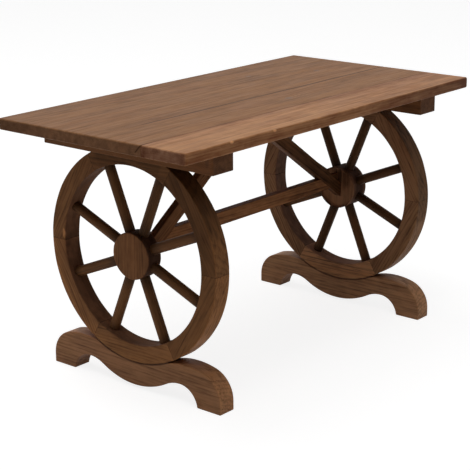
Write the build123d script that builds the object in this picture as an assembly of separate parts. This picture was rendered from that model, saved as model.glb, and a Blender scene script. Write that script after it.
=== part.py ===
from build123d import *
import math
import os

# Wagon wheel table: a boarded top on three battens, carried by two spoked wheels.
# Each wheel stands in the cradle of a scrolled foot. A stretcher joins the hubs, and
# two braces halved over it run up to the middle of the top.
#
# Frame: millimetres, +X along the top, +Y to the back, +Z up. The origin is on the
# floor under the middle of the top. "left" is -X and "front" is -Y.

# ---- Driving dimensions ----------------------------------------------------------

HEIGHT = 606
TOP_LENGTH = 1067
TOP_THICKNESS = 26
BOARD_WIDTHS = {
    "top_board_front": 121,
    "top_board_mid_front": 134,
    "top_board_mid_back": 137,
    "top_board_back": 162,
}
TOP_EDGE_RADIUS = 4

BATTEN_WIDTH = 66
BATTEN_LENGTH = 504
BATTEN_DEPTH = 46
CENTRE_BATTEN_WIDTH = 90
CENTRE_BATTEN_LENGTH = 380
CENTRE_BATTEN_DEPTH = 26

WHEEL_X = 388.5
WHEEL_CENTRE_Z = 310.5
WHEEL_RADIUS = 248
RIM_DEPTH = 42
WHEEL_WIDTH = 46
FELLOE_COUNT = 6
HUB_RADIUS = 54
HUB_CORE_RADIUS = 34
SPOKE_COUNT = 8
SPOKE_RADIUS = 12
SPOKE_TENON_SIDE = 14
SPOKE_MORTISE_DEPTH = 20
MORTISE_END_GAP = 1

BAR_THICKNESS = 20
BAR_DEPTH = 32
STRETCHER_Z = 333
BRACE_FOOT_Z = 306.5
BRACE_SLOPE = 35.2

FOOT_HALF_LENGTH = 257
FOOT_CREST = (158, 91.5)
FOOT_NOSE_RADIUS = 64.5
FOOT_BELLY_RADIUS = 200
FOOT_BELLY_Z = 7
FOOT_ARCH_TOP = (140, 43.5)
FOOT_ARCH_RADIUS = 50

TENON_THICKNESS = 10
TENON_HEIGHT = 20
TENON_DEPTH = 20
STRETCHER_TENON_Z = 331
BRACE_TENON_Z = 303

TONGUE_THICKNESS = 10
TONGUE_WIDTH = 20
TONGUE_LENGTH = 36
BOARD_TONGUE_SPACING = 360

# ---- Levels that follow from them ------------------------------------------------

TOP_WIDTH = sum(BOARD_WIDTHS.values())
TOP_UNDERSIDE = HEIGHT - TOP_THICKNESS
BATTEN_UNDERSIDE = TOP_UNDERSIDE - BATTEN_DEPTH
CENTRE_BATTEN_UNDERSIDE = TOP_UNDERSIDE - CENTRE_BATTEN_DEPTH
HUB_FACE_X = WHEEL_X - WHEEL_WIDTH / 2
RIM_INNER_RADIUS = WHEEL_RADIUS - RIM_DEPTH
FELLOE_ANGLE = 360 / FELLOE_COUNT
SPOKE_PITCH = 360 / SPOKE_COUNT
SIDES = {"left": -WHEEL_X, "right": WHEEL_X}

# Angles round a wheel run from the back, +Y, up towards the top, +Z.
FELLOE_NAMES = ["back_upper", "top", "front_upper", "front_lower", "bottom", "back_lower"]
SPOKE_ANGLES = [SPOKE_PITCH * (number + 0.5) for number in range(SPOKE_COUNT)]


# ---- Joints ----------------------------------------------------------------------


def board_edges():
    """The front edge of each board and the back edge of the last, from front to back."""
    edges = [-TOP_WIDTH / 2]
    for width in BOARD_WIDTHS.values():
        edges.append(edges[-1] + width)
    return edges


def board_tongues():
    """Three loose tongues across each joint between boards."""
    tongue = Box(TONGUE_LENGTH, TONGUE_WIDTH, TONGUE_THICKNESS)
    middle_z = HEIGHT - TOP_THICKNESS / 2
    return [
        Pos(column * BOARD_TONGUE_SPACING, joint, middle_z) * tongue
        for joint in board_edges()[1:-1]
        for column in (-1, 0, 1)
    ]


def felloe_tongues(x):
    """One loose tongue across each felloe joint, along the tangent of the ring."""
    middle = (WHEEL_RADIUS + RIM_INNER_RADIUS) / 2
    tongue = Pos(0, middle, 0) * Box(TONGUE_THICKNESS, TONGUE_WIDTH, TONGUE_LENGTH)
    return [
        Pos(x, 0, WHEEL_CENTRE_Z) * Rot(X=FELLOE_ANGLE * number) * tongue
        for number in range(FELLOE_COUNT)
    ]


def right_tenon(side, z):
    """A bare-faced tenon into the right hub, from the back half of a bar or the front half."""
    middle = Pos(HUB_FACE_X + TENON_DEPTH / 2, side * TENON_THICKNESS / 2, z)
    return middle * Box(TENON_DEPTH, TENON_THICKNESS, TENON_HEIGHT)


def stretcher_tenon():
    return right_tenon(1, STRETCHER_TENON_Z)


def brace_tenon():
    return right_tenon(-1, BRACE_TENON_Z)


def both_ends(right_shape):
    return [right_shape, mirror(right_shape, Plane.YZ)]


# ---- Feet ------------------------------------------------------------------------


def arc(centre, radius, start, end):
    return CenterArc(centre, radius, start, end - start)


def foot_top_outline():
    """From the bottom of the cradle, over the crest, round the nose to the floor."""
    crest_y, crest_z = FOOT_CREST
    fall = WHEEL_CENTRE_Z - crest_z
    crest_radius = (crest_y**2 + fall**2 - WHEEL_RADIUS**2) / (2 * (WHEEL_RADIUS - fall))
    crest_centre = (crest_y, crest_z - crest_radius)
    cradle_angle = math.degrees(math.atan2(crest_y, fall + crest_radius))

    nose_y = FOOT_HALF_LENGTH - FOOT_NOSE_RADIUS
    nose_offset = crest_radius - FOOT_NOSE_RADIUS
    nose_angle = math.degrees(math.asin((nose_y - crest_y) / nose_offset))
    nose_z = crest_centre[1] + nose_offset * math.cos(math.radians(nose_angle))
    return [
        arc((0, WHEEL_CENTRE_Z), WHEEL_RADIUS, -90, cradle_angle - 90),
        arc(crest_centre, crest_radius, 90 + cradle_angle, 90 - nose_angle),
        arc((nose_y, nose_z), FOOT_NOSE_RADIUS, 90 - nose_angle, 0),
        Line((FOOT_HALF_LENGTH, nose_z), (FOOT_HALF_LENGTH, 0)),
    ]


def foot_bottom_outline():
    """From the floor pad, over the arch, down to the belly in the middle."""
    arch_y, arch_z = FOOT_ARCH_TOP
    drop = FOOT_ARCH_RADIUS - arch_z
    pad_angle = math.degrees(math.asin(drop / FOOT_ARCH_RADIUS))
    pad_y = arch_y + FOOT_ARCH_RADIUS * math.cos(math.radians(pad_angle))

    belly_z = FOOT_BELLY_Z + FOOT_BELLY_RADIUS
    rise = belly_z - arch_z
    inner_radius = (arch_y**2 + rise**2 - FOOT_BELLY_RADIUS**2) / (2 * (FOOT_BELLY_RADIUS - rise))
    turn = math.degrees(math.atan2(arch_y, rise + inner_radius))
    return [
        Line((FOOT_HALF_LENGTH, 0), (pad_y, 0)),
        arc((arch_y, -drop), FOOT_ARCH_RADIUS, pad_angle, 90),
        arc((arch_y, arch_z - inner_radius), inner_radius, 90, 90 + turn),
        arc((0, belly_z), FOOT_BELLY_RADIUS, turn - 90, -90),
    ]


def foot(x):
    """A scrolled foot sawn from one plank, cradling the bottom of its wheel."""
    half = Curve() + foot_top_outline() + foot_bottom_outline()
    outline = half + mirror(half, Plane.YZ)
    return Pos(x, 0, 0) * extrude(make_face(Plane.YZ * outline), WHEEL_WIDTH / 2, both=True)


# ---- Wheels ----------------------------------------------------------------------


def axle_cylinder(radius):
    """As wide as the wheel, about its axle."""
    return Rot(Y=90) * Cylinder(radius, WHEEL_WIDTH)


def radial_bar(end_gap, angle):
    """A square bar in the wheel's plane, from the hub's core to inside the rim."""
    inner = HUB_CORE_RADIUS + end_gap
    outer = RIM_INNER_RADIUS + SPOKE_MORTISE_DEPTH - end_gap
    bar = Box(SPOKE_TENON_SIDE, outer - inner, SPOKE_TENON_SIDE)
    return Rot(X=angle) * Pos(0, (inner + outer) / 2, 0) * bar


def spoke_mortises():
    """The square holes for the tenons of all the spokes, in the hub and the rim at once."""
    return [radial_bar(0, angle) for angle in SPOKE_ANGLES]


def spoke_room():
    """The space between the hub and the rim."""
    return axle_cylinder(RIM_INNER_RADIUS) - axle_cylinder(HUB_RADIUS)


def spoke(x, angle):
    """A round rod scribed to the hub and the rim, with a square tenon at each end."""
    rod = Rot(X=angle - 90) * Pos(0, 0, WHEEL_RADIUS / 2) * Cylinder(SPOKE_RADIUS, WHEEL_RADIUS)
    rod = (rod & spoke_room()) + radial_bar(MORTISE_END_GAP, angle)
    return Pos(x, 0, WHEEL_CENTRE_Z) * rod


def felloe(x, number):
    """One sixth of the rim. The top one is cut flat where the batten sits on it."""
    section = Pos(0, (WHEEL_RADIUS + RIM_INNER_RADIUS) / 2) * Rectangle(WHEEL_WIDTH, RIM_DEPTH)
    block = Rot(X=FELLOE_ANGLE * number) * revolve(section, Axis.X, FELLOE_ANGLE)
    block = Pos(x, 0, WHEEL_CENTRE_Z) * (block - spoke_mortises())
    above_seat = Pos(x, 0, BATTEN_UNDERSIDE + HEIGHT / 2) * Box(HEIGHT, HEIGHT, HEIGHT)
    return block - felloe_tongues(x) - above_seat


def hub(x):
    """A round block as wide as the rim, with the spokes let in all round."""
    block = Pos(x, 0, WHEEL_CENTRE_Z) * (axle_cylinder(HUB_RADIUS) - spoke_mortises())
    return block - both_ends(stretcher_tenon()) - both_ends(brace_tenon())


# ---- Stretcher and braces --------------------------------------------------------


def whole_stretcher():
    bar = Pos(0, 0, STRETCHER_Z) * Box(2 * HUB_FACE_X, BAR_THICKNESS, BAR_DEPTH)
    return bar + both_ends(stretcher_tenon())


def whole_right_brace():
    """A sloping bar cut upright against the hub and its twin, and level at the top."""
    bar = Rot(Y=BRACE_SLOPE) * Box(2 * TOP_LENGTH, BAR_THICKNESS, BAR_DEPTH)
    room = Box(HUB_FACE_X, BAR_THICKNESS, CENTRE_BATTEN_UNDERSIDE)
    bar = Pos(HUB_FACE_X, 0, BRACE_FOOT_Z) * bar
    return (bar & Pos(HUB_FACE_X / 2, 0, CENTRE_BATTEN_UNDERSIDE / 2) * room) + brace_tenon()


def half_space(side):
    """The room in front of the bars' middle plane, or behind it."""
    return Pos(0, side * HEIGHT / 2, HEIGHT / 2) * Box(TOP_LENGTH, HEIGHT, HEIGHT)


def right_brace():
    """The front half of the halved joint is the brace's."""
    return whole_right_brace() - (whole_stretcher() & half_space(1))


def right_lap():
    """The brace's room in the stretcher's front half, cut on upwards to clear short grain."""
    room = Pos(0, -BAR_THICKNESS / 2, BAR_DEPTH / 2) * Box(2 * TOP_LENGTH, BAR_THICKNESS, 2 * BAR_DEPTH)
    return Pos(HUB_FACE_X, 0, BRACE_FOOT_Z) * Rot(Y=BRACE_SLOPE) * room


def stretcher():
    """The back half of each halved joint is the stretcher's."""
    return whole_stretcher() - both_ends(right_lap())


# ---- Battens and top -------------------------------------------------------------


def batten(x, width, length, depth):
    """A bar across the underside of the top."""
    return Pos(x, 0, TOP_UNDERSIDE - depth / 2) * Box(width, length, depth)


def top_boards():
    """One eased panel, parted along its joints into boards of unequal width."""
    panel = Pos(0, 0, HEIGHT - TOP_THICKNESS / 2) * Box(TOP_LENGTH, TOP_WIDTH, TOP_THICKNESS)
    panel = fillet(panel.faces().filter_by(Axis.Z).edges(), TOP_EDGE_RADIUS)
    panel -= board_tongues()
    edges = board_edges()
    boards = {}
    for name, front, back in zip(BOARD_WIDTHS, edges, edges[1:]):
        strip = Pos(0, (front + back) / 2, HEIGHT) * Box(2 * TOP_LENGTH, back - front, HEIGHT)
        boards[name] = panel & strip
    return boards


# ---- The assembly ----------------------------------------------------------------


def group(solids):
    return Compound(children=list(solids))


def end_nodes(side, x):
    """A foot, the wheel that stands in it, and the batten that the wheel carries."""
    nodes = {f"{side}_foot": foot(x), f"{side}_hub": hub(x)}
    for number, name in enumerate(FELLOE_NAMES):
        nodes[f"{side}_felloe_{name}"] = felloe(x, number)
    for number, angle in enumerate(SPOKE_ANGLES, start=1):
        nodes[f"{side}_spoke_{number}"] = spoke(x, angle)
    nodes[f"{side}_felloe_tongues"] = group(felloe_tongues(x))
    nodes[f"{side}_batten"] = batten(x, BATTEN_WIDTH, BATTEN_LENGTH, BATTEN_DEPTH)
    return nodes


def middle_nodes():
    """What ties the two ends together."""
    nodes = {"stretcher": stretcher()}
    nodes["left_brace"], nodes["right_brace"] = reversed(both_ends(right_brace()))
    nodes["centre_batten"] = batten(0, CENTRE_BATTEN_WIDTH, CENTRE_BATTEN_LENGTH, CENTRE_BATTEN_DEPTH)
    nodes.update(top_boards())
    nodes["board_tongues"] = group(board_tongues())
    return nodes


all_nodes = middle_nodes()
for side, x in SIDES.items():
    all_nodes.update(end_nodes(side, x))
os.makedirs("parts", exist_ok=True)
for name, shape in all_nodes.items():
    export_step(shape, f"parts/{name}.step")
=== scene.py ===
import random
from math import cos, pi, radians, sin

import bmesh
import bpy
from mathutils import Matrix, Vector, noise


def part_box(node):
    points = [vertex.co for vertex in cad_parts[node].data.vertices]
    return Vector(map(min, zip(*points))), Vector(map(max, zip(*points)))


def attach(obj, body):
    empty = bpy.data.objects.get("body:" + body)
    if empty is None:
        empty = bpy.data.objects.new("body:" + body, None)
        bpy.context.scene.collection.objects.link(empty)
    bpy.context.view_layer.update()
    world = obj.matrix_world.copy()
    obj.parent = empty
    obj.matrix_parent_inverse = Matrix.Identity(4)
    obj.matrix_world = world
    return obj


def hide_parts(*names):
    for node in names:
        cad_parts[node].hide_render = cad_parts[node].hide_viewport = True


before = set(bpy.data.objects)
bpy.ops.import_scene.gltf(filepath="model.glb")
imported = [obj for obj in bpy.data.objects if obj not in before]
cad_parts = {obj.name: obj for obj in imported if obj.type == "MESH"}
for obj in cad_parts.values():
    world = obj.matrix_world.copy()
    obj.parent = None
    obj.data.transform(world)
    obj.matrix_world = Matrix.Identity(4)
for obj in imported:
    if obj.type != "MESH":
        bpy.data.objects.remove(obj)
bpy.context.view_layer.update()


# ---- Feet ------------------------------------------------------------------------
# Each foot is sawn from one thick fir plank and scrolled: two crests, a cradle for the
# rim between them and an arch under each crest. The grain runs from nose to nose. The
# sawn shape is sanded, its arrises are taken off, and it is stained and waxed.


def middle_of(node):
    """The middle of a piece's box."""
    low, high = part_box(node)
    return (low + high) / 2


WHEELS = {"left": -1, "right": 1}
AXLE_Z = middle_of("left_hub").z
RIM_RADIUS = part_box("left_felloe_back_upper")[1].y
FOOT_ARRIS = 0.0022
FOOT_HEART_OUT = 0.03
FOOT_HEART_BELOW = 0.11
# The feet are paler than the other pieces, partly their own stain and partly painted light from the floor
# near them.
FOOT_PALE = {"left": (0.480, 0.226, 0.099, 1), "right": (0.475, 0.245, 0.120, 1)}
FOOT_DARK = (0.110, 0.047, 0.021, 1)
FOOT_TONES = {"left": 0.1, "right": -0.5}


class Field:
    """A number, vector or colour that varies over a piece. Sums on it become nodes.
    Sockets go by name, or by number where several of a node's sockets share a name."""

    def __init__(self, tree, socket=None):
        self.tree = tree
        self.socket = socket

    def node(self, kind, settings, sockets, output=0):
        """Adds a node of any kind: its settings first, then its values and links."""
        node = self.tree.nodes.new(kind)
        for name, value in settings.items():
            setattr(node, name, value)
        for name, values in sockets.items():
            for value in values if isinstance(values, list) else [values]:
                if isinstance(value, Field):
                    self.tree.links.new(value.socket, node.inputs[name])
                else:
                    node.inputs[name].default_value = value
        return Field(self.tree, node.outputs[output] if node.outputs else None)

    def math(self, operation, first, second=0.0, clamp=False):
        settings = {"operation": operation, "use_clamp": clamp}
        return self.node("ShaderNodeMath", settings, {0: first, 1: second})

    def __add__(self, other):
        return self.math("ADD", self, other)

    def __sub__(self, other):
        return self.math("SUBTRACT", self, other)

    def __mul__(self, other):
        return self.math("MULTIPLY", self, other)

    def __truediv__(self, other):
        return self.math("DIVIDE", self, other)

    def __rsub__(self, other):
        return self.math("SUBTRACT", other, self)

    def __abs__(self):
        return self.math("ABSOLUTE", self)

    __radd__ = __add__
    __rmul__ = __mul__

    def clamped(self):
        """The same number, kept between 0 and 1."""
        return self.math("ADD", self, 0.0, clamp=True)

    def part(self, axis):
        """One component of a vector."""
        return self.node("ShaderNodeSeparateXYZ", {}, {0: self}, output="XYZ".index(axis))

    def scaled(self, x, y, z):
        """A vector with each component multiplied by its own number."""
        return self.node("ShaderNodeVectorMath", {"operation": "MULTIPLY"}, {0: self, 1: (x, y, z)})

    def rising(self, low, high):
        """0 below the low value, 1 above the high one, and smooth between them."""
        sockets = {"Value": self, "From Min": low, "From Max": high}
        return self.node("ShaderNodeMapRange", {"interpolation_type": "SMOOTHSTEP"}, sockets)

    def cloud(self, scale=1.0, detail=2.0, roughness=0.55):
        """Soft noise from 0 to 1, read at this vector."""
        sockets = {"Vector": self, "Scale": scale, "Detail": detail, "Roughness": roughness}
        return self.node("ShaderNodeTexNoise", {}, sockets)

    def between(self, first, second):
        """A colour from the first to the second, as this number goes from 0 to 1."""
        return self.node("ShaderNodeMix", {"data_type": "RGBA"}, {0: self, 6: first, 7: second}, output=2)


def attribute(tree, name):
    """What was kept on the piece's vertices under a name."""
    return Field(tree).node("ShaderNodeAttribute", {"attribute_name": name}, {}, output="Vector")


def whereabouts(tree):
    """Each point's place on the table, in metres."""
    return Field(tree).node("ShaderNodeTexCoord", {}, {}, output="Object")


def distance_to(tree, centre, shape):
    """How far each point is from a centre, with each axis weighed by the shape."""
    place = whereabouts(tree)
    away = place.node("ShaderNodeVectorMath", {"operation": "SUBTRACT"}, {0: place, 1: centre})
    away = away.scaled(*shape)
    return away.node("ShaderNodeVectorMath", {"operation": "LENGTH"}, {0: away}, output="Value")


RING_WANDER = 0.022
RING_WANDER_SCALE = (1.1, 7, 7)
RING_WANDER_OTHER_WAY = 1.3
RING_RIPPLE = 0.9
RING_RIPPLE_SCALE = (2, 40, 40)
LATE_WOOD_COMES = (0.30, 0.90)
LATE_WOOD_ENDS = (0.92, 1.0)
FAINTEST_YEAR = 0.35


def growth_rings(grain, pitch, swell):
    """Dark late wood at the end of each year's ring, 0 to 1, stronger in some years. The
    swell pushes the rings outwards, so that they go round a knot."""
    drift = grain.scaled(*RING_WANDER_SCALE)
    other_drift = drift.scaled(1, 1, -1)
    across = grain.part("Y") + (drift.cloud() - 0.5) * RING_WANDER
    through = grain.part("Z") + (other_drift.cloud(RING_WANDER_OTHER_WAY) - 0.5) * RING_WANDER
    distance = grain.math("SQRT", across * across + through * through) + swell
    years = distance / pitch + grain.scaled(*RING_RIPPLE_SCALE).cloud() * RING_RIPPLE
    season = grain.math("FRACT", years)
    late = season.rising(*LATE_WOOD_COMES) * (1 - season.rising(*LATE_WOOD_ENDS))
    year = grain.math("FLOOR", years)
    strength = grain.node("ShaderNodeTexWhiteNoise", {"noise_dimensions": "1D"}, {"W": year})
    return late * (FAINTEST_YEAR + (1 - FAINTEST_YEAR) * strength)


KNOT_SHAPE = (0.55, 1, 0.4)
KNOT_HEART = 0.5
KNOT_RIM = 1.15
KNOT_REACH = 5
KNOT_SWELL = 2.2


def knots_in(tree, knots):
    """Round each knot, given by its place and radius: how dark its heart is, and how far
    it pushes the growth rings aside."""
    heart, swell = 0.0, 0.0
    for centre, radius in knots:
        reach = distance_to(tree, centre, KNOT_SHAPE)
        heart = heart + (1 - reach.rising(radius * KNOT_HEART, radius * KNOT_RIM))
        swell = swell + (1 - reach.rising(0.0, radius * KNOT_REACH)) * (radius * KNOT_SWELL)
    return heart, swell


# How finely each pattern in the wood repeats along, across and through the log, and
# between which values its noise turns from none of it to all of it.
BAND_SCALE = (2.2, 48, 48)
BLOTCH_SCALE = (8, 26, 26)
FIBRE_SCALE = (16, 700, 700)
STREAK_SCALE = (8, 150, 150)
STREAK_EDGE = (0.30, 0.70)
THREAD_SCALE = (20, 290, 290)
THREAD_EDGE = (0.54, 0.72)
RUB_SCALE = (30, 60, 60)
RUB_EDGE = (0.35, 0.70)
FLUSH_SCALE = (3, 16, 16)
FLUSH_FINENESS = 1.7
FLUSH_EDGE = (0.42, 0.75)

# How far each takes the stain from its pale colour, at 0, towards its dark one, at 1.
GROUND_DEPTH = 0.20
BAND_DEPTH = 0.80
BLOTCH_DEPTH = 0.70
RING_DEPTH = 0.30
STREAK_DEPTH = 0.34
THREAD_DEPTH = 0.26
FIBRE_DEPTH = 0.50
FIGURE_MIDDLE = 0.16
END_CONTRAST = 0.35
END_DEPTH = 0.15
RUB_DEPTH = 0.34
KNOT_DEPTH = 0.32

# Tone goes in steps, and each step leaves this share of the light. A mark that is deep
# below 0 is bare wood, which is paler by so many steps for each unit of depth.
TONE_STEP = 0.68
END_STEPS = 0.45
BARE_BELOW = -0.5
BARE_STEPS = 1.8
END_GREYNESS = (0.98, 1.03, 1.38)
FLUSH_COLOUR = (0.88, 0.76, 0.68)
FLUSH_SHARE = 0.40

# How rough the wax is, and how the grain stands up from the surface.
WAX_ROUGHNESS = 0.54
STREAK_ROUGHNESS = 0.10
FIBRE_ROUGHNESS = 0.12
END_ROUGHNESS = 0.15
KNOT_POLISH = 0.12
RING_RELIEF = 0.35
FIBRE_RELIEF = 0.50
THREAD_RELIEF = 0.30
RELIEF_STRENGTH = 0.55
RELIEF_HEIGHT = 0.00035


def stained_fir(name, pale, dark, pitch=0.0050, sheen=0.10, contrast=1.0, knots=(), marks_and_shade=None):
    """Stained and waxed softwood. The grain attribute holds each point's place in its
    log, along and across; the finish attribute holds wear, end grain, and tone with
    some painted shade and light in it. Marks, some of them painted shade, add to the
    depth of the stain, and far below 0 they lay the pale wood bare."""
    material = bpy.data.materials.new(name)
    material.use_nodes = True
    tree = material.node_tree
    shader = tree.nodes["Principled BSDF"]
    grain = attribute(tree, "grain")
    finish = attribute(tree, "finish")
    wear, end, tone_and_shade = (finish.part(axis) for axis in "XYZ")
    all_end = end.clamped()

    heart, swell = knots_in(tree, knots)
    rings = growth_rings(grain, pitch, swell)
    bands = grain.scaled(*BAND_SCALE).cloud() - 0.5
    blotches = grain.scaled(*BLOTCH_SCALE).cloud(detail=3.0) - 0.5
    fibres = grain.scaled(*FIBRE_SCALE).cloud(detail=3.0)
    streaks = grain.scaled(*STREAK_SCALE).cloud(detail=3.0).rising(*STREAK_EDGE) - 0.5
    threads = grain.scaled(*THREAD_SCALE).cloud().rising(*THREAD_EDGE)
    rubbed = wear * grain.scaled(*RUB_SCALE).cloud().rising(*RUB_EDGE)

    figure = rings * RING_DEPTH + streaks * STREAK_DEPTH + threads * THREAD_DEPTH
    figure = figure + (fibres - 0.5) * FIBRE_DEPTH - FIGURE_MIDDLE
    figure = FIGURE_MIDDLE + figure * (contrast - all_end * (contrast - END_CONTRAST))
    depth = GROUND_DEPTH + figure + bands * BAND_DEPTH + blotches * BLOTCH_DEPTH
    depth = depth + end * END_DEPTH - rubbed * RUB_DEPTH + heart * KNOT_DEPTH
    if marks_and_shade is not None:
        depth = depth + marks_and_shade(tree)

    stain = depth.clamped()
    ruddy = (*(part * share for part, share in zip(pale, FLUSH_COLOUR)), 1)
    flush = grain.scaled(*FLUSH_SCALE).cloud(FLUSH_FINENESS).rising(*FLUSH_EDGE) * FLUSH_SHARE
    colour = flush.between(stain.between(pale, dark), stain.between(ruddy, dark))
    colour = all_end.between(colour, colour.scaled(*END_GREYNESS))
    bare = depth.math("MINIMUM", depth - BARE_BELOW, 0.0)
    light = depth.math("POWER", TONE_STEP, tone_and_shade + end * END_STEPS + bare * BARE_STEPS)
    colour = colour.node("ShaderNodeVectorMath", {"operation": "SCALE"}, {0: colour, "Scale": light})
    tree.links.new(colour.socket, shader.inputs["Base Color"])

    roughness = WAX_ROUGHNESS + streaks * STREAK_ROUGHNESS + (fibres - 0.5) * FIBRE_ROUGHNESS
    roughness = roughness + end * END_ROUGHNESS - heart * KNOT_POLISH
    tree.links.new(roughness.socket, shader.inputs["Roughness"])
    height = 1 - rings * RING_RELIEF - fibres * FIBRE_RELIEF - threads * THREAD_RELIEF
    sockets = {"Strength": RELIEF_STRENGTH, "Distance": RELIEF_HEIGHT, "Height": height}
    tree.links.new(height.node("ShaderNodeBump", {}, sockets).socket, shader.inputs["Normal"])
    shader.inputs["Specular IOR Level"].default_value = sheen
    return material


WEAR_FROM = radians(11)
WEAR_FULL = radians(20)


def wear_of(vert):
    """1 on an eased arris, 0 on a flat or gently curved face."""
    turn = max((edge.calc_face_angle(0.0) for edge in vert.link_edges), default=0.0)
    return min(1.0, max(0.0, (turn - WEAR_FROM) / (WEAR_FULL - WEAR_FROM)))


GRAIN_LEAN = 0.018
LOG_LENGTH = 5
END_FALLOFF = 1.6


def finish_piece(work, node, made, material, along, heart, tone_and_shade=0.0, patina_and_shade=None):
    """Makes a shape into the piece of timber that stands for a node. The grain runs
    along a direction, in rings about a heart line that passes through the given point.
    Tone is how dark it took the stain, in steps, and on some pieces it is partly
    painted shade. Patina tells how rough each vertex was left, and how many steps
    darker it is; on most pieces that is painted light and shade."""
    name = f"{node}_{made}"
    bmesh.ops.recalc_face_normals(work, faces=work.faces)
    wear = [wear_of(vert) for vert in work.verts]
    mesh = bpy.data.meshes.new(name)
    work.to_mesh(mesh)
    work.free()
    for polygon in mesh.polygons:
        polygon.use_smooth = True

    chance = random.Random(name)
    lean = Vector((chance.uniform(-1, 1), chance.uniform(-1, 1), chance.uniform(-1, 1))) * GRAIN_LEAN
    along = (Vector(along).normalized() + lean).normalized()
    across = along.orthogonal().normalized()
    through = along.cross(across)
    start = chance.uniform(-LOG_LENGTH, LOG_LENGTH)
    places = mesh.attributes.new("grain", "FLOAT_VECTOR", "POINT")
    states = mesh.attributes.new("finish", "FLOAT_VECTOR", "POINT")
    for index, vert in enumerate(mesh.vertices):
        reach = vert.co - heart
        places.data[index].vector = (reach.dot(along) + start, reach.dot(across), reach.dot(through))
        end = max(0.0, 1 - (1 - abs(vert.normal.dot(along))) * END_FALLOFF)
        darker = 0.0
        if patina_and_shade is not None:
            end, darker = patina_and_shade(vert, end)
        states.data[index].vector = (wear[index], end, tone_and_shade + darker)
    mesh.materials.append(material)

    piece = bpy.data.objects.new(name, mesh)
    bpy.context.scene.collection.objects.link(piece)
    flats = piece.modifiers.new("flats", "WEIGHTED_NORMAL")
    flats.mode = "FACE_AREA"
    bpy.context.view_layer.update()
    settled = piece.evaluated_get(bpy.context.evaluated_depsgraph_get())
    piece.data = bpy.data.meshes.new_from_object(settled)
    piece.modifiers.clear()
    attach(piece, "root")
    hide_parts(node)


MERGE_GAP = 0.00001
FLAT_ANGLE = radians(1)
SHARP_ANGLE = radians(30)
ARRIS_STEPS = 3
ROUND_PROFILE = 0.5


def eased_copy(node, arris):
    """The true shape of a piece with a small round on every sharp corner."""
    work = bmesh.new()
    work.from_mesh(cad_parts[node].data)
    bmesh.ops.remove_doubles(work, verts=work.verts, dist=MERGE_GAP)
    bmesh.ops.dissolve_limit(work, angle_limit=FLAT_ANGLE, verts=work.verts, edges=work.edges)
    sharp = [edge for edge in work.edges if edge.calc_face_angle(0.0) > SHARP_ANGLE]
    bmesh.ops.bevel(work, geom=sharp, offset=arris, segments=ARRIS_STEPS, profile=ROUND_PROFILE,
                    affect="EDGES")
    return work


NOSE_Y = 0.2
NOSE_TURN = 0.6
# Painted light: how many steps paler each foot's noses are painted.
NOSE_PAINTED_LIGHT = {"left": 2.4, "right": 1.3}


def foot_rough_and_painted_light(vert, end):
    """The arches and the belly were left from the saw, and painted light makes the two
    noses pale."""
    nose = max(0.0, abs(vert.normal.y) - NOSE_TURN) if abs(vert.co.y) > NOSE_Y else 0.0
    return max(-vert.normal.z, 0.0), -nose * NOSE_PAINTED_LIGHT["left" if vert.co.x < 0 else "right"]


CRADLE_LINE = (0.0010, 0.0036)
CRADLE_DARKENING = 0.9


def foot_marks(tree):
    """Darker along the line where the rim sits in the cradle."""
    place = whereabouts(tree)
    y, height = place.part("Y"), place.part("Z") - AXLE_Z
    from_rim = y.math("SQRT", y * y + height * height) - RIM_RADIUS
    return (1 - abs(from_rim).rising(*CRADLE_LINE)) * CRADLE_DARKENING


for side, sign in WHEELS.items():
    node = f"{side}_foot"
    foot_wood = stained_fir(f"{node}_fir", FOOT_PALE[side], FOOT_DARK, pitch=0.0080, sheen=0.16,
                            contrast=1.2, marks_and_shade=foot_marks)
    heart = middle_of(node) + Vector((FOOT_HEART_OUT * sign, 0, -FOOT_HEART_BELOW))
    finish_piece(eased_copy(node, FOOT_ARRIS), node, "sawn", foot_wood, (0, 1, 0), heart,
                 FOOT_TONES[side], foot_rough_and_painted_light)


# ---- Felloes ---------------------------------------------------------------------
# Six felloes make each rim. Each is band-sawn from a straight board, so its grain runs
# along its chord, and they are butted and glued over hidden tongues. The joints show
# as hairlines. The top felloe is planed flat where the batten sits.

HUB_LOW, HUB_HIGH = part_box("right_hub")
AXLE_X = (HUB_LOW.x + HUB_HIGH.x) / 2
WHEEL_WIDTH = HUB_HIGH.x - HUB_LOW.x
RIM_DEPTH = 0.042
SEAT_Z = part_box("left_felloe_top")[1].z
FELLOES = ["back_upper", "top", "front_upper", "front_lower", "bottom", "back_lower"]
FELLOE_ANGLE = 2 * pi / len(FELLOES)
FELLOE_STEPS = 36
FELLOE_ARRIS = 0.0024
JOINT_ARRIS = 0.00045
FELLOE_TONES = {"left": [0.0, 0.8, 1.4, 0.4, -0.4, -1.0], "right": [0.0, 0.3, -0.3, -0.2, -1.7, -0.4]}
RIM_PALE = {"left": (0.345, 0.153, 0.058, 1), "right": (0.355, 0.176, 0.083, 1)}
RIM_DARK = {"left": (0.065, 0.029, 0.013, 1), "right": (0.065, 0.033, 0.018, 1)}
RIM_CONTRAST = {"left": 1.2, "right": 1.6}
RIM_HEART_REACH = 0.9
RIM_HEARTS_OUT = (-0.09, 0.12)
RIM_HEART_ASIDE = 0.11


def rounded_section(low, high, radii, steps=ARRIS_STEPS):
    """Points round a rectangle from its low corner to its high one. The four corners
    have their own radii, anticlockwise from the low one."""
    corners = [(low[0], low[1]), (high[0], low[1]), (high[0], high[1]), (low[0], high[1])]
    inwards = [(1, 1), (-1, 1), (-1, -1), (1, -1)]
    points = []
    for number, ((a, b), inward, radius) in enumerate(zip(corners, inwards, radii)):
        for step in range(steps + 1):
            turn = pi + (number + step / steps) * pi / 2
            point = (a + radius * (inward[0] + cos(turn)), b + radius * (inward[1] + sin(turn)))
            points.append(point)
    return points


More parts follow.
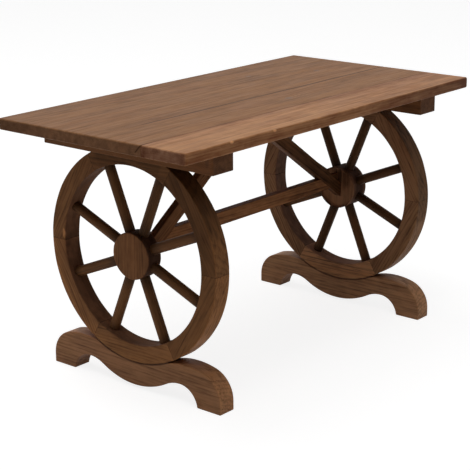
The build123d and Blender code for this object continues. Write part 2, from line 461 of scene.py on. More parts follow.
def end_easing(radius, steps=ARRIS_STEPS):
    """(distance from the end, inset) pairs for a rounded end arris."""
    turns = [step / steps * pi / 2 for step in range(steps + 1)]
    return [(radius * (1 - cos(turn)), radius * (1 - sin(turn))) for turn in turns]


def stations(start, end, radius, steps, last_radius=None):
    """(place, inset) pairs from a low start to a high end, eased at both ends."""
    first = [(start + distance, inset) for distance, inset in end_easing(radius)]
    last = [(end - distance, inset) for distance, inset in reversed(end_easing(last_radius or radius))]
    inner = [start + (end - start) * step / steps for step in range(1, steps)]
    return first + [(place, 0.0) for place in inner] + last


def skin(rings):
    """Joins a row of closed rings into one solid shape with capped ends."""
    work = bmesh.new()
    rows = [[work.verts.new(point) for point in ring] for ring in rings]
    for row, following in zip(rows, rows[1:]):
        for index in range(len(row)):
            after = (index + 1) % len(row)
            work.faces.new((row[index], row[after], following[after], following[index]))
    work.faces.new(rows[0])
    work.faces.new(rows[-1])
    return work


RUB_UNEVENNESS = 0.4
RUBS_ROUND_THE_RIM = 5
OTHER_WHEEL = 3


def felloe_shape(sign, number):
    """A rounded bar swept round a sixth of the circle. Hands have rubbed its arrises
    more in some places than in others."""
    middle = RIM_RADIUS - RIM_DEPTH / 2
    start, end = FELLOE_ANGLE * number, FELLOE_ANGLE * (number + 1)
    rings = []
    for arc, inset in stations(start * middle, end * middle, JOINT_ARRIS, FELLOE_STEPS):
        angle = arc / middle
        rub = noise.noise(Vector((sign * OTHER_WHEEL, cos(angle), sin(angle))) * RUBS_ROUND_THE_RIM)
        radius = FELLOE_ARRIS * (1 + RUB_UNEVENNESS * rub)
        half_depth, half_width = RIM_DEPTH / 2 - inset, WHEEL_WIDTH / 2 - inset
        section = rounded_section((-half_depth, -half_width), (half_depth, half_width), [radius] * 4)
        ring = []
        for outward, sideways in section:
            reach = middle + outward
            z = min(AXLE_Z + reach * sin(angle), SEAT_Z)
            ring.append((sign * AXLE_X + sideways, reach * cos(angle), z))
        rings.append(ring)
    return skin(rings)


def smoothly(value, low, high):
    """0 below the low value, 1 above the high one, and smooth between them."""
    share = min(1.0, max(0.0, (value - low) / (high - low)))
    return share * share * (3 - 2 * share)


# Painted shade and painted light on the rims, in steps, and the heights where each comes in.
INSIDE_PAINTED_SHADE = 0.2
INSIDE_SHADE_Z = (0.40, 0.52)
LOW_BACK_PAINTED_SHADE = 1.1
LOW_BACK_Y = (0.08, 0.12)
LOW_BACK_DROP = (-0.02, 0.01)
LEFT_PAINTED_LIGHT = 1.35
LEFT_PAINTED_SHADE = 2.3
LEFT_SHADE_Z = (0.36, 0.50)
LEFT_PAINTED_SHADOW = 1.4
LEFT_SHADOW_Z = (0.47, 0.53)
RIGHT_PAINTED_LIGHT = 0.25
RIGHT_PAINTED_SHADE = 1.8
RIGHT_SHADE_Z = (0.22, 0.32)


def rim_painted_light_and_shade(vert, end):
    """Painted shade inside the rim: its inner side is rough like end grain and darker,
    more so high up, and the left one is darker low at its back. Outside, painted shade
    darkens its upper part and painted light makes it paler below, more on the left wheel."""
    left = vert.co.x < 0
    outwards = Vector((vert.co.y, vert.co.z - AXLE_Z)).normalized()
    facing = vert.normal.y * outwards.x + vert.normal.z * outwards.y
    if facing < 0:
        grime = INSIDE_PAINTED_SHADE * smoothly(vert.co.z, *INSIDE_SHADE_Z)
        low_back = smoothly(vert.co.y, *LOW_BACK_Y) * smoothly(AXLE_Z - vert.co.z, *LOW_BACK_DROP)
        return -facing, grime + (LOW_BACK_PAINTED_SHADE * low_back if left else 0.0)
    if left:
        grime = LEFT_PAINTED_SHADE * smoothly(vert.co.z, *LEFT_SHADE_Z)
        painted_shadow = LEFT_PAINTED_SHADOW * smoothly(vert.co.z, *LEFT_SHADOW_Z)
        return 0.0, facing * (grime + painted_shadow - LEFT_PAINTED_LIGHT)
    return 0.0, facing * (RIGHT_PAINTED_SHADE * smoothly(vert.co.z, *RIGHT_SHADE_Z) - RIGHT_PAINTED_LIGHT)


JOINT_LINE = (0.0004, 0.0015)
JOINT_DIRT = 0.4
FILLER_PLACE = (-0.4115, 0.210, 0.326)
FILLER_SHAPE = (1, 1.6, 0.6)
FILLER_EDGE = (0.0055, 0.0090)
FILLER_PALENESS = 1.7
SEATED_INSET = (0.0010, 0.0034)
SEATED_HEIGHT = (-0.222, -0.214)
SEATED_DARKENING = 0.8


def rim_marks(tree):
    """Dirt in the joints, darker along the cradle, and a light dab of filler by one joint."""
    place = whereabouts(tree)
    y, height = place.part("Y"), place.part("Z") - AXLE_Z
    reach = y.math("SQRT", y * y + height * height)
    sixths = y.math("ARCTAN2", height, y) / FELLOE_ANGLE
    off = abs(sixths - y.math("ROUND", sixths)) * reach * FELLOE_ANGLE
    joints = 1 - off.rising(*JOINT_LINE)
    filler = 1 - distance_to(tree, FILLER_PLACE, FILLER_SHAPE).rising(*FILLER_EDGE)
    seated = (1 - (RIM_RADIUS - reach).rising(*SEATED_INSET)) * (1 - height.rising(*SEATED_HEIGHT))
    return joints * JOINT_DIRT - filler * FILLER_PALENESS + seated * SEATED_DARKENING


for side, sign in WHEELS.items():
    rim_wood = stained_fir(f"{side}_rim_fir", RIM_PALE[side], RIM_DARK[side], pitch=0.0068,
                           sheen=0.06, contrast=RIM_CONTRAST[side], marks_and_shade=rim_marks)
    for number, name in enumerate(FELLOES):
        node = f"{side}_felloe_{name}"
        bearing = FELLOE_ANGLE * (number + 0.5)
        outwards = Vector((0, cos(bearing), sin(bearing)))
        chord = Vector((0, -sin(bearing), cos(bearing)))
        log = random.Random(f"log of {node}")
        offset = outwards * log.choice(RIM_HEARTS_OUT)
        offset += Vector((log.uniform(-RIM_HEART_ASIDE, RIM_HEART_ASIDE), 0, 0))
        heart = Vector((sign * AXLE_X, 0, AXLE_Z)) + outwards * RIM_RADIUS * RIM_HEART_REACH + offset
        finish_piece(felloe_shape(sign, number), node, "sawn", rim_wood, chord, heart,
                     FELLOE_TONES[side][number], rim_painted_light_and_shade)


# ---- Hubs ------------------------------------------------------------------------
# Each hub is a round block, turned across a thick fir plank, so that its grain runs
# upright over both faces and shows its ends above and below. The spokes and the bars
# are let into it.

HUB_RADIUS = (HUB_HIGH.z - HUB_LOW.z) / 2
HUB_ARRIS = 0.003
HUB_INNER_ARRIS = 0.008
HUB_RINGS = 4
HUB_SIDES = 128
HUB_HEART_OUT = 0.09
HUB_HEART_BACK = 0.035
HUB_PALE = {"left": (0.270, 0.120, 0.052, 1), "right": (0.270, 0.132, 0.066, 1)}
HUB_DARK = (0.044, 0.020, 0.010, 1)
HUB_TONES = {"left": -0.9, "right": -1.2}
HUB_SIDE_PAINTED_SHADE = 2.2
BARS_MEET = (0.0, -0.010, 0.338)
BARS_PAINTED_SHADE = 0.6
BARS_SHADE_REACH = (0.010, 0.045)
INNER_SIDE = (AXLE_X - 0.020, AXLE_X - 0.010)


def hub_bars_painted_shade(tree):
    """Painted shade on the inner faces, round the place where the stretcher and brace go in."""
    reach = distance_to(tree, BARS_MEET, (0, 1, 1))
    inner = 1 - abs(whereabouts(tree).part("X")).rising(*INNER_SIDE)
    return (1 - reach.rising(*BARS_SHADE_REACH)) * inner * BARS_PAINTED_SHADE


def between_the_spokes(vert, end):
    """Painted shade: the round side of the hub, between the spokes, is rough like end grain and nearly
    black.
    """
    side = 1 - abs(vert.normal.x)
    return max(end, side), HUB_SIDE_PAINTED_SHADE * side


for side, sign in WHEELS.items():
    node = f"{side}_hub"
    hub_wood = stained_fir(f"{node}_fir", HUB_PALE[side], HUB_DARK, pitch=0.0060, sheen=0.03,
                           marks_and_shade=hub_bars_painted_shade)
    # The right hub's stations run from high to low, so its ends flare outwards into lips
    # beyond the rim's faces instead of being eased.
    outer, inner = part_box(node)[::-sign]
    turns = [2 * pi * step / HUB_SIDES for step in range(HUB_SIDES)]
    rings = []
    for x, inset in stations(outer.x, inner.x, HUB_ARRIS, HUB_RINGS, HUB_INNER_ARRIS):
        radius = HUB_RADIUS - inset
        rings.append([(x, radius * cos(turn), AXLE_Z + radius * sin(turn)) for turn in turns])
    heart = middle_of(node) + Vector((HUB_HEART_OUT * sign, HUB_HEART_BACK, 0))
    finish_piece(skin(rings), node, "turned", hub_wood, (0, 0, 1), heart, HUB_TONES[side],
                 between_the_spokes)


# ---- Spokes ----------------------------------------------------------------------
# Eight spokes to a wheel, plain dowels let into the hub and the rim. They are stained
# on the bench before the wheel is glued up, so each took the stain a little differently.

SPOKE_RADIUS = 0.012
SPOKE_COUNT = 8
SPOKE_SIDES = 36
SPOKE_RINGS = 24
SPOKE_BITE = 0.004
SPOKE_HEART = 0.035
SPOKE_LOG = (4, 0.03, 0.03)
SPOKE_SEED = 4
SPOKE_PALE = (0.250, 0.108, 0.039, 1)
SPOKE_DARK = (0.046, 0.020, 0.009, 1)
SPOKE_TONES = {"left": 0.45, "right": 1.3}
SPOKE_TONE_SPREAD = 12
PAINTED_SHADE_PER_METRE = 2.2
HUB_END_PAINTED_SHADE = 2.0
HUB_END_REACH = (0.004, 0.050)
RIM_END_PAINTED_SHADE = 1.8
RIM_END_REACH = (0.004, 0.032)


def geometry_tree(name, sizes):
    """A Geometry Nodes tree with named number inputs, and a Field that starts it."""
    tree = bpy.data.node_groups.new(name, "GeometryNodeTree")
    tree.interface.new_socket("Geometry", in_out="INPUT", socket_type="NodeSocketGeometry")
    for label in sizes:
        tree.interface.new_socket(label, in_out="INPUT", socket_type="NodeSocketFloat")
    tree.interface.new_socket("Geometry", in_out="OUTPUT", socket_type="NodeSocketGeometry")
    start = Field(tree)
    given = {label: start.node("NodeGroupInput", {}, {}, output=label) for label in ["Geometry", *sizes]}
    return start, given


def close_tree(geometry, material):
    """Ends the tree: instances are made real and get their material."""
    geometry = geometry.node("GeometryNodeRealizeInstances", {}, {"Geometry": geometry})
    sockets = {"Geometry": geometry, "Material": material}
    geometry = geometry.node("GeometryNodeSetMaterial", {}, sockets)
    geometry.node("NodeGroupOutput", {}, {"Geometry": geometry})


def grow(name, tree, sizes, seed_mesh=None):
    """Runs a tree with its sizes and keeps the result as a plain mesh."""
    piece = bpy.data.objects.new(name, seed_mesh or bpy.data.meshes.new(name))
    bpy.context.scene.collection.objects.link(piece)
    modifier = piece.modifiers.new("build", "NODES")
    modifier.node_group = tree
    for item in tree.interface.items_tree:
        if item.in_out == "INPUT" and item.name in sizes:
            modifier[item.identifier] = float(sizes[item.name])
    bpy.context.view_layer.update()
    built = piece.evaluated_get(bpy.context.evaluated_depsgraph_get())
    piece.data = bpy.data.meshes.new_from_object(built)
    piece.modifiers.clear()
    return piece


def vector(start, **parts):
    """A vector made of the X, Y and Z that are given, and 0 for the others."""
    return start.node("ShaderNodeCombineXYZ", {}, parts)


def rotation(start, **turns):
    """A turn about the X, Y or Z axis, in radians."""
    return start.node("FunctionNodeEulerToRotation", {}, {"Euler": vector(start, **turns)})


def store(geometry, name, value, domain="POINT"):
    """Keeps a vector on the geometry under a name."""
    settings = {"data_type": "FLOAT_VECTOR", "domain": domain}
    sockets = {"Geometry": geometry, "Name": name, "Value": value}
    return geometry.node("GeometryNodeStoreNamedAttribute", settings, sockets)


def stored(start, name):
    """The vector that was kept under a name."""
    return start.node("GeometryNodeInputNamedAttribute", {"data_type": "FLOAT_VECTOR"}, {"Name": name})


spoke_wood = stained_fir("spoke_dowel", SPOKE_PALE, SPOKE_DARK, pitch=0.0034)
start, given = geometry_tree("spokes", ["Radius", "Inner", "Outer", "Axle X", "Axle Z", "Tone", "Seed"])
length = given["Outer"] - given["Inner"]
dowel = start.node("GeometryNodeMeshCylinder", {}, {
    "Vertices": SPOKE_SIDES, "Side Segments": SPOKE_RINGS, "Radius": given["Radius"], "Depth": length})
x, y, z = (start.node("GeometryNodeInputPosition", {}, {}).part(axis) for axis in "XYZ")
dowel = store(dowel, "grain", vector(start, X=z, Y=x + SPOKE_HEART, Z=y))
# Painted shade: each dowel is darker near the hub and near the rim, where it goes in.
from_hub = z + length * 0.5
from_rim = length * 0.5 - z
grime = (1 - from_hub.rising(*HUB_END_REACH)) * HUB_END_PAINTED_SHADE
grime = grime + (1 - from_rim.rising(*RIM_END_REACH)) * RIM_END_PAINTED_SHADE
dowel = store(dowel, "grime", vector(start, X=grime))
lift = vector(start, Z=(given["Outer"] + given["Inner"]) * 0.5)
dowel = start.node("GeometryNodeTransform", {}, {"Geometry": dowel, "Translation": lift})

axle = vector(start, X=given["Axle X"], Z=given["Axle Z"])
points = start.node("GeometryNodePoints", {}, {"Count": SPOKE_COUNT, "Position": axle})
number = start.node("GeometryNodeInputIndex", {}, {})
spin = rotation(start, X=(number + 0.5) * (2 * pi / SPOKE_COUNT))
wheel = start.node("GeometryNodeInstanceOnPoints", {}, {
    "Points": points, "Instance": dowel, "Rotation": spin})
log = start.node("FunctionNodeRandomValue", {"data_type": "FLOAT_VECTOR"}, {
    "Min": tuple(-reach for reach in SPOKE_LOG), "Max": SPOKE_LOG, "ID": number, "Seed": given["Seed"]})
wheel = store(wheel, "log", log, "INSTANCE")
wheel = start.node("GeometryNodeRealizeInstances", {}, {"Geometry": wheel})
own_log = stored(start, "log")
grain = start.node("ShaderNodeVectorMath", {"operation": "ADD"}, {0: stored(start, "grain"), 1: own_log})
wheel = store(wheel, "grain", grain)
# Painted shade: the spokes are darker the higher they reach above the axle.
shade = (z - given["Axle Z"]) * PAINTED_SHADE_PER_METRE + given["Tone"]
tone_and_shade = own_log.part("Y") * SPOKE_TONE_SPREAD + stored(start, "grime").part("X") + shade
wheel = store(wheel, "finish", vector(start, Z=tone_and_shade))
wheel = start.node("GeometryNodeSetShadeSmooth", {}, {"Geometry": wheel})
close_tree(wheel, spoke_wood)

for side, sign in WHEELS.items():
    spokes = grow(f"{side}_spokes_turned", start.tree, {
        "Radius": SPOKE_RADIUS, "Inner": HUB_RADIUS - SPOKE_BITE,
        "Outer": RIM_RADIUS - RIM_DEPTH + SPOKE_BITE, "Axle X": sign * AXLE_X, "Axle Z": AXLE_Z,
        "Tone": SPOKE_TONES[side], "Seed": SPOKE_SEED + sign})
    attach(spokes, "root")
    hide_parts(*[f"{side}_spoke_{number}" for number in range(1, SPOKE_COUNT + 1)])


# ---- Stretcher and braces --------------------------------------------------------
# A square-edged fir stretcher ties the two hubs together. Two braces of the same stock
# are halved over its ends and rise to the middle of the top. All three are planed, with
# their arrises only just broken, and have tenons in the hubs.

BAR_ARRIS = 0.0012
BAR_HEART = Vector((0, 0.05, -0.06))
BRACE_SLOPE = radians(35.2)
BAR_DIRECTIONS = {
    "stretcher": (1, 0, 0),
    "left_brace": (cos(BRACE_SLOPE), 0, sin(BRACE_SLOPE)),
    "right_brace": (cos(BRACE_SLOPE), 0, -sin(BRACE_SLOPE)),
}
BAR_PALE = (0.462, 0.203, 0.084, 1)
BAR_DARK = (0.060, 0.025, 0.012, 1)
# The bars' tones are partly painted shade: the braces are darker than the stretcher, the right brace most.
BAR_TONES = {"stretcher": -0.3, "left_brace": 0.8, "right_brace": 1.8}
BAR_TOP_PAINTED_SHADE = 1.5
DARK_END_X = (0.05, 0.25)
DARK_END_STAIN = 0.33


def upper_side_painted_shade(vert, end):
    """Painted shade: the upper sides, under the top, are darker."""
    return end, BAR_TOP_PAINTED_SHADE * max(0.0, vert.normal.z)


def bar_marks(tree):
    """The right end of the stretcher has gone darker, and so has the brace on it."""
    return whereabouts(tree).part("X").rising(*DARK_END_X) * DARK_END_STAIN


bar_wood = stained_fir("bar_fir", BAR_PALE, BAR_DARK, sheen=0.03, marks_and_shade=bar_marks)
for node, along in BAR_DIRECTIONS.items():
    heart = middle_of(node) + BAR_HEART
    finish_piece(eased_copy(node, BAR_ARRIS), node, "planed", bar_wood, along, heart,
                 BAR_TONES[node], upper_side_painted_shade)


# ---- Battens ---------------------------------------------------------------------
# A stout fir batten crosses the boards over each wheel and sits on the flat of the rim,
# and a thinner one in the middle takes the upper ends of the braces. They are planed,
# screwed up into the boards, and painted darkest of all, as painted shade under the top.

BATTEN_ARRIS = 0.0018
BATTEN_HEART = Vector((0.02, 0, -0.10))
BATTEN_KNOTS = [((-0.4215, -0.236, 0.562), 0.006), ((0.402, 0.120, 0.534), 0.008)]
# Painted shade: the battens' colours are the darkest, for the shade under the top.
BATTEN_PALE = (0.225, 0.095, 0.034, 1)
BATTEN_DARK = (0.050, 0.019, 0.007, 1)
SEALED_SHARE = 0.5
LIFTING_Y = (0.08, 0.20)
LIFTING_WEAR = 0.55


def sealed_ends(vert, end):
    """The ends were sanded finer than usual, and drank less."""
    return end * SEALED_SHARE, 0.0


def handled_middle(tree):
    """Lighter over the wheel, where the table is lifted."""
    return (abs(whereabouts(tree).part("Y")).rising(*LIFTING_Y) - 1) * LIFTING_WEAR


batten_wood = stained_fir("batten_fir", BATTEN_PALE, BATTEN_DARK, knots=BATTEN_KNOTS, marks_and_shade=handled_middle)
for node in ("left_batten", "right_batten", "centre_batten"):
    heart = middle_of(node) + BATTEN_HEART
    finish_piece(eased_copy(node, BATTEN_ARRIS), node, "planed", batten_wood, (0, 1, 0),
                 heart, patina_and_shade=sealed_ends)


# ---- Top boards ------------------------------------------------------------------
# Four one-inch fir boards of unequal width, edge to edge, glued over hidden tongues.
# Only the outer edges are rounded over. The front joint has opened at its left end.

BOARDS = ["top_board_front", "top_board_mid_front", "top_board_mid_back", "top_board_back"]
TOP_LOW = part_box(BOARDS[0])[0]
TOP_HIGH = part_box(BOARDS[-1])[1]
SPLIT_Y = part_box("top_board_front")[1].y
MIDDLE_JOINT_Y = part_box("top_board_mid_front")[1].y
TOP_EDGE_RADIUS = 0.004
TOP_CORNER_RADIUS = 0.008
TOP_JOINT_ARRIS = 0.0003
BOARD_STEPS = 48
END_CUTS = [0.0, 0.0003, 0.0010, 0.0022, TOP_EDGE_RADIUS, 0.0058, TOP_CORNER_RADIUS]
SPLIT_WIDTH = 0.0008
SPLIT_LENGTH = 0.050
SPLIT_TAPER = 1.3
BOARD_HEARTS = [(0.02, -0.13), (-0.05, -0.10), (0.06, -0.12), (-0.02, -0.10)]
BOARD_TONES = [0.0, 0.0, 0.03, 0.14]
TOP_KNOTS = [((0.375, 0.079, TOP_HIGH.z), 0.007), ((0.042, -0.088, TOP_HIGH.z), 0.008),
             ((0.201, 0.164, TOP_HIGH.z), 0.006)]
TOP_PALE = (0.335, 0.152, 0.055, 1)
TOP_DARK = (0.100, 0.037, 0.010, 1)
FRONT_PALE = (0.575, 0.282, 0.124, 1)
FRONT_DARK = (0.165, 0.048, 0.013, 1)


def split_gap(x):
    """How far the opened joint's two sides have parted, from its left end inwards."""
    reach = max(0.0, 1 - (x - TOP_LOW.x) / SPLIT_LENGTH)
    return SPLIT_WIDTH * reach ** SPLIT_TAPER


def rounded_off(distance, radius):
    """How far a rounded corner draws back, at a distance from the end."""
    short = max(0.0, radius - distance)
    return radius - (radius ** 2 - short ** 2) ** 0.5


def board_shape(number):
    """A board whose outer edges are rounded over and whose joint edges are crisp."""
    low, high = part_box(BOARDS[number])
    outer_front, outer_back = number == 0, number == len(BOARDS) - 1
    front_radius = TOP_EDGE_RADIUS if outer_front else TOP_JOINT_ARRIS
    back_radius = TOP_EDGE_RADIUS if outer_back else TOP_JOINT_ARRIS
    inner = [low.x + (high.x - low.x) * step / BOARD_STEPS for step in range(1, BOARD_STEPS)]
    rings = []
    for x in [low.x + cut for cut in END_CUTS] + inner + [high.x - cut for cut in reversed(END_CUTS)]:
        from_end = min(x - low.x, high.x - x)
        inset = rounded_off(from_end, TOP_EDGE_RADIUS)
        corner = rounded_off(from_end, TOP_CORNER_RADIUS)
        gap = split_gap(x) / 2
        front = low.y + (corner if outer_front else 0.0) + (gap if number == 1 else 0.0)
        back = high.y - (corner if outer_back else 0.0) - (gap if number == 0 else 0.0)
        radii = [front_radius, back_radius, back_radius, front_radius]
        section = rounded_section((front, low.z + inset), (back, high.z - inset), radii)
        rings.append([(x, y, z) for y, z in section])
    return skin(rings)


SEAM_FADE = 0.08
SEAM_WAVER = 0.006
SEAM_WAVES = 6
SEAM_CORE = 0.4


def seam(tree, y, half_width, from_x, to_x):
    """A dark line along the boards, which wavers a little and fades at both ends."""
    place = whereabouts(tree)
    waver = (place.scaled(SEAM_WAVES, 0, 0).cloud() - 0.5) * SEAM_WAVER
    away = abs(place.part("Y") + waver - y)
    x = place.part("X")
    ends = x.rising(from_x, from_x + SEAM_FADE) * (1 - x.rising(to_x - SEAM_FADE, to_x))
    return (1 - away.rising(half_width * SEAM_CORE, half_width)) * ends


LIP_LINE = (0.0010, 0.0030)
LIP_DROP = (0.002, 0.005)
LIP_GRIME = 1.4
LIP_GRIME_END = (0.010, 0.045)
LIP_FADE = 0.2
LIP_FADE_X = (0.0, 0.3)
CHECK_SLOPE = 0.9
CHECK_LINE = (0.0010, 0.0028)
CHECK_DROP = (0.013, 0.020)
CHECK_DEPTH = (0.001, 0.004)
CHECK_GRIME = 1.2


def split_grime(tree):
    place = whereabouts(tree)
    x, y, z = (place.part(axis) for axis in "XYZ")
    drop = TOP_HIGH.z - z
    from_left = x - TOP_LOW.x
    lips = (1 - abs(y - SPLIT_Y).rising(*LIP_LINE)) * (1 - drop.rising(*LIP_DROP))
    lips = lips * (LIP_GRIME - from_left.rising(*LIP_GRIME_END) - x.rising(*LIP_FADE_X) * LIP_FADE)
    check = 1 - abs(y - SPLIT_Y - drop * CHECK_SLOPE).rising(*CHECK_LINE)
    check = check * (1 - drop.rising(*CHECK_DROP)) * (1 - from_left.rising(*CHECK_DEPTH))
    return lips + check * CHECK_GRIME


BOARD_JOINT_LINE = (0.0008, 0.0040)
BOARD_JOINT_FADE = (-0.42, -0.33)
BOARD_JOINT_GRIME = 1.2
RESIN_STREAKS = [(0.225, 0.0028, -0.10, 0.46), (0.062, 0.0016, -0.56, -0.32)]
RESIN_STAIN = 0.45
BACK_EDGE_LINE = (0.001, 0.009)
RIGHT_EDGE_LINE = (0.001, 0.007)
FAR_EDGE_DARKENING = 0.7
BACK_SHADE_Y = (0.18, 0.25)
BACK_SHADE = 0.14
SPILL_PLACE = (0.200, 0.130, TOP_HIGH.z)
SPILL_SHAPE = (0.4, 1, 1)
SPILL_EDGE = (0.01, 0.05)
SPILL_STAIN = 0.18
SPLIT_WEAR_WIDTH = 0.035
SPLIT_WEAR_X = (-0.30, 0.10)
SPLIT_WEAR = 0.16


def use_marks(tree):
    """Grime in the joints, darker along the far edges, two resin streaks, an old spill,
    and some wear beside the opened joint."""
    place = whereabouts(tree)
    x, y = place.part("X"), place.part("Y")
    joint = (1 - abs(y - MIDDLE_JOINT_Y).rising(*BOARD_JOINT_LINE)) * x.rising(*BOARD_JOINT_FADE)
    streaks = sum(seam(tree, *streak) for streak in RESIN_STREAKS)
    far = 1 - (TOP_HIGH.y - y).rising(*BACK_EDGE_LINE) * (TOP_HIGH.x - x).rising(*RIGHT_EDGE_LINE)
    spill = 1 - distance_to(tree, SPILL_PLACE, SPILL_SHAPE).rising(*SPILL_EDGE)
    shade = y.rising(*BACK_SHADE_Y) * BACK_SHADE + spill * SPILL_STAIN
    worn = (1 - (y - SPLIT_Y).rising(0.0, SPLIT_WEAR_WIDTH)) * (1 - x.rising(*SPLIT_WEAR_X))
    darkening = joint * BOARD_JOINT_GRIME + streaks * RESIN_STAIN + far * FAR_EDGE_DARKENING
    return darkening + shade - worn * SPLIT_WEAR + split_grime(tree)


KNOCKS = [((-0.3895, -0.276, 0.6035), 0.0060), ((-0.248, -0.276, 0.6035), 0.0060)]
KNOCK_SHAPE = (0.8, 1, 1.6)
KNOCK_CORE = 0.4
KNOCK_PALENESS = 1.4
RIGHTWARDS_X = (-0.45, 0.50)
RIGHTWARDS_STAIN = 0.14
EVEN_SHARE = 0.4
EDGE_LINE = (0.0006, 0.0036)
EDGE_STAIN = 0.38
EDGE_STAIN_RIGHT = 0.14
CORNER_X = (0.49, 0.53)
CORNER_STAIN = 0.8
END_LINE = (0.0006, 0.0040)
END_STAIN = 0.25
BY_SPLIT_WIDTH = 0.055
BY_SPLIT_STAIN = 0.20
BY_SPLIT_STAIN_RIGHT = 0.18


def front_marks(tree):
    """The front board is darker towards its right and beside the opened joint, took more
    stain on its edge, corner and left end, and is knocked pale in two places."""
    place = whereabouts(tree)
    x, y = place.part("X"), place.part("Y")
    knocks = 0.0
    for centre, radius in KNOCKS:
        knocks = knocks + (1 - distance_to(tree, centre, KNOCK_SHAPE).rising(radius * KNOCK_CORE, radius))
    rightwards = x.rising(*RIGHTWARDS_X)
    edge = 1 - (y - TOP_LOW.y).rising(*EDGE_LINE)
    edge = edge * (EDGE_STAIN + rightwards * EDGE_STAIN_RIGHT + x.rising(*CORNER_X) * CORNER_STAIN)
    left_end = 1 - (x - TOP_LOW.x).rising(*END_LINE)
    by_split = y.rising(SPLIT_Y - BY_SPLIT_WIDTH, SPLIT_Y)
    by_split = by_split * (BY_SPLIT_STAIN + rightwards * BY_SPLIT_STAIN_RIGHT)
    stain = (rightwards - EVEN_SHARE) * RIGHTWARDS_STAIN + by_split + edge + left_end * END_STAIN
    return stain - knocks * KNOCK_PALENESS + split_grime(tree)


EDGE_TURN = (0.2, 0.9)
FRONT_PAINTED_LIGHT = 0.62
FRONT_PAINTED_SHADE = 0.9
FRONT_SHADE_X = (0.0, 0.50)


def front_face_light_and_shade(vert, end):
    """Painted light makes the faces that look to the front paler at the left. Further to
    the right, painted shade makes them darker instead."""
    front = smoothly(-vert.normal.y, *EDGE_TURN)
    return end, front * (FRONT_PAINTED_SHADE * smoothly(vert.co.x, *FRONT_SHADE_X) - FRONT_PAINTED_LIGHT)


top_wood = stained_fir("top_fir", TOP_PALE, TOP_DARK, sheen=0.12, contrast=0.7, knots=TOP_KNOTS,
                       marks_and_shade=use_marks)
front_wood = stained_fir("front_board_fir", FRONT_PALE, FRONT_DARK, sheen=0.12, contrast=0.55,
                         marks_and_shade=front_marks)
for number, node in enumerate(BOARDS):
    sideways, down = BOARD_HEARTS[number]
    heart = middle_of(node) + Vector((0, sideways, down))
    wood = front_wood if number == 0 else top_wood
    finish_piece(board_shape(number), node, "planed", wood, (1, 0, 0), heart,
                 BOARD_TONES[number], front_face_light_and_shade)


# ---- Tongues ---------------------------------------------------------------------
# Loose beech tongues, sealed in the joints between boards and between felloes. They
# stay bare: no stain reaches them.

TONGUE_PALE = (0.52, 0.34, 0.19, 1)
TONGUE_DARK = (0.33, 0.19, 0.10, 1)

tongue_wood = stained_fir("tongue_beech", TONGUE_PALE, TONGUE_DARK, pitch=0.003)
for node in ("board_tongues", "left_felloe_tongues", "right_felloe_tongues"):
    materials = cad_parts[node].data.materials
    materials.clear()
    materials.append(tongue_wood)


# ---- Screws ----------------------------------------------------------------------
# Countersunk steel wood screws with cross recesses hold the battens, wheels, feet and
# braces. All are driven from below or behind. Those under the rims are left out: the
# wheels cover them.

SCREW_RADIUS = 0.0042
SCREW_SIDES = 28
SCREW_TAPER = 0.55
SCREW_DEPTH = 0.0030
SCREW_PROUD = 0.0004
SCREW_SEED = 3
RECESS_LENGTH = 1.15
RECESS_WIDTH = 0.26
RECESS_DEPTH = 0.9
SCREW_INSET = 0.018
BATTEN_END_INSET = 0.05
BRACE_SCREW_Y = 0.06
COVERED_HALF_WIDTH = 0.105
RIM_SCREW_Y = 0.036
FOOT_SCREW_Y = 0.045
FOOT_BELLY_RADIUS = 0.200
FOOT_BELLY_Z = 0.007
LAP_X = 0.322
STEEL_PALE = (0.42, 0.40, 0.37, 1)
STEEL_DARK = (0.16, 0.15, 0.13, 1)
TARNISH_FINENESS = 900.0
TARNISH_EDGE = (0.42, 0.68)
STEEL_ROUGHNESS = 0.36
TARNISH_ROUGHNESS = 0.3
STEEL_METALLIC = 0.95
TARNISH_DULLNESS = 0.5
SCRATCH_FINENESS = 2400.0
SCRATCH_STRENGTH = 0.3
SCRATCH_DEPTH = 0.0001


def screw_steel():
    """Dull plated steel with spots of tarnish and fine scratches."""
    material = bpy.data.materials.new("screw_steel")
    material.use_nodes = True
    tree = material.node_tree
    shader = tree.nodes["Principled BSDF"]
    place = whereabouts(tree)
    tarnish = place.cloud(TARNISH_FINENESS, detail=3.0).rising(*TARNISH_EDGE)
    roughness = STEEL_ROUGHNESS + tarnish * TARNISH_ROUGHNESS
    metallic = STEEL_METALLIC - tarnish * TARNISH_DULLNESS
    scratches = place.cloud(SCRATCH_FINENESS)
    bump = scratches.node("ShaderNodeBump", {}, {
        "Strength": SCRATCH_STRENGTH, "Distance": SCRATCH_DEPTH, "Height": scratches})
    tree.links.new(tarnish.between(STEEL_PALE, STEEL_DARK).socket, shader.inputs["Base Color"])
    tree.links.new(roughness.socket, shader.inputs["Roughness"])
    tree.links.new(metallic.socket, shader.inputs["Metallic"])
    tree.links.new(bump.socket, shader.inputs["Normal"])
    return material


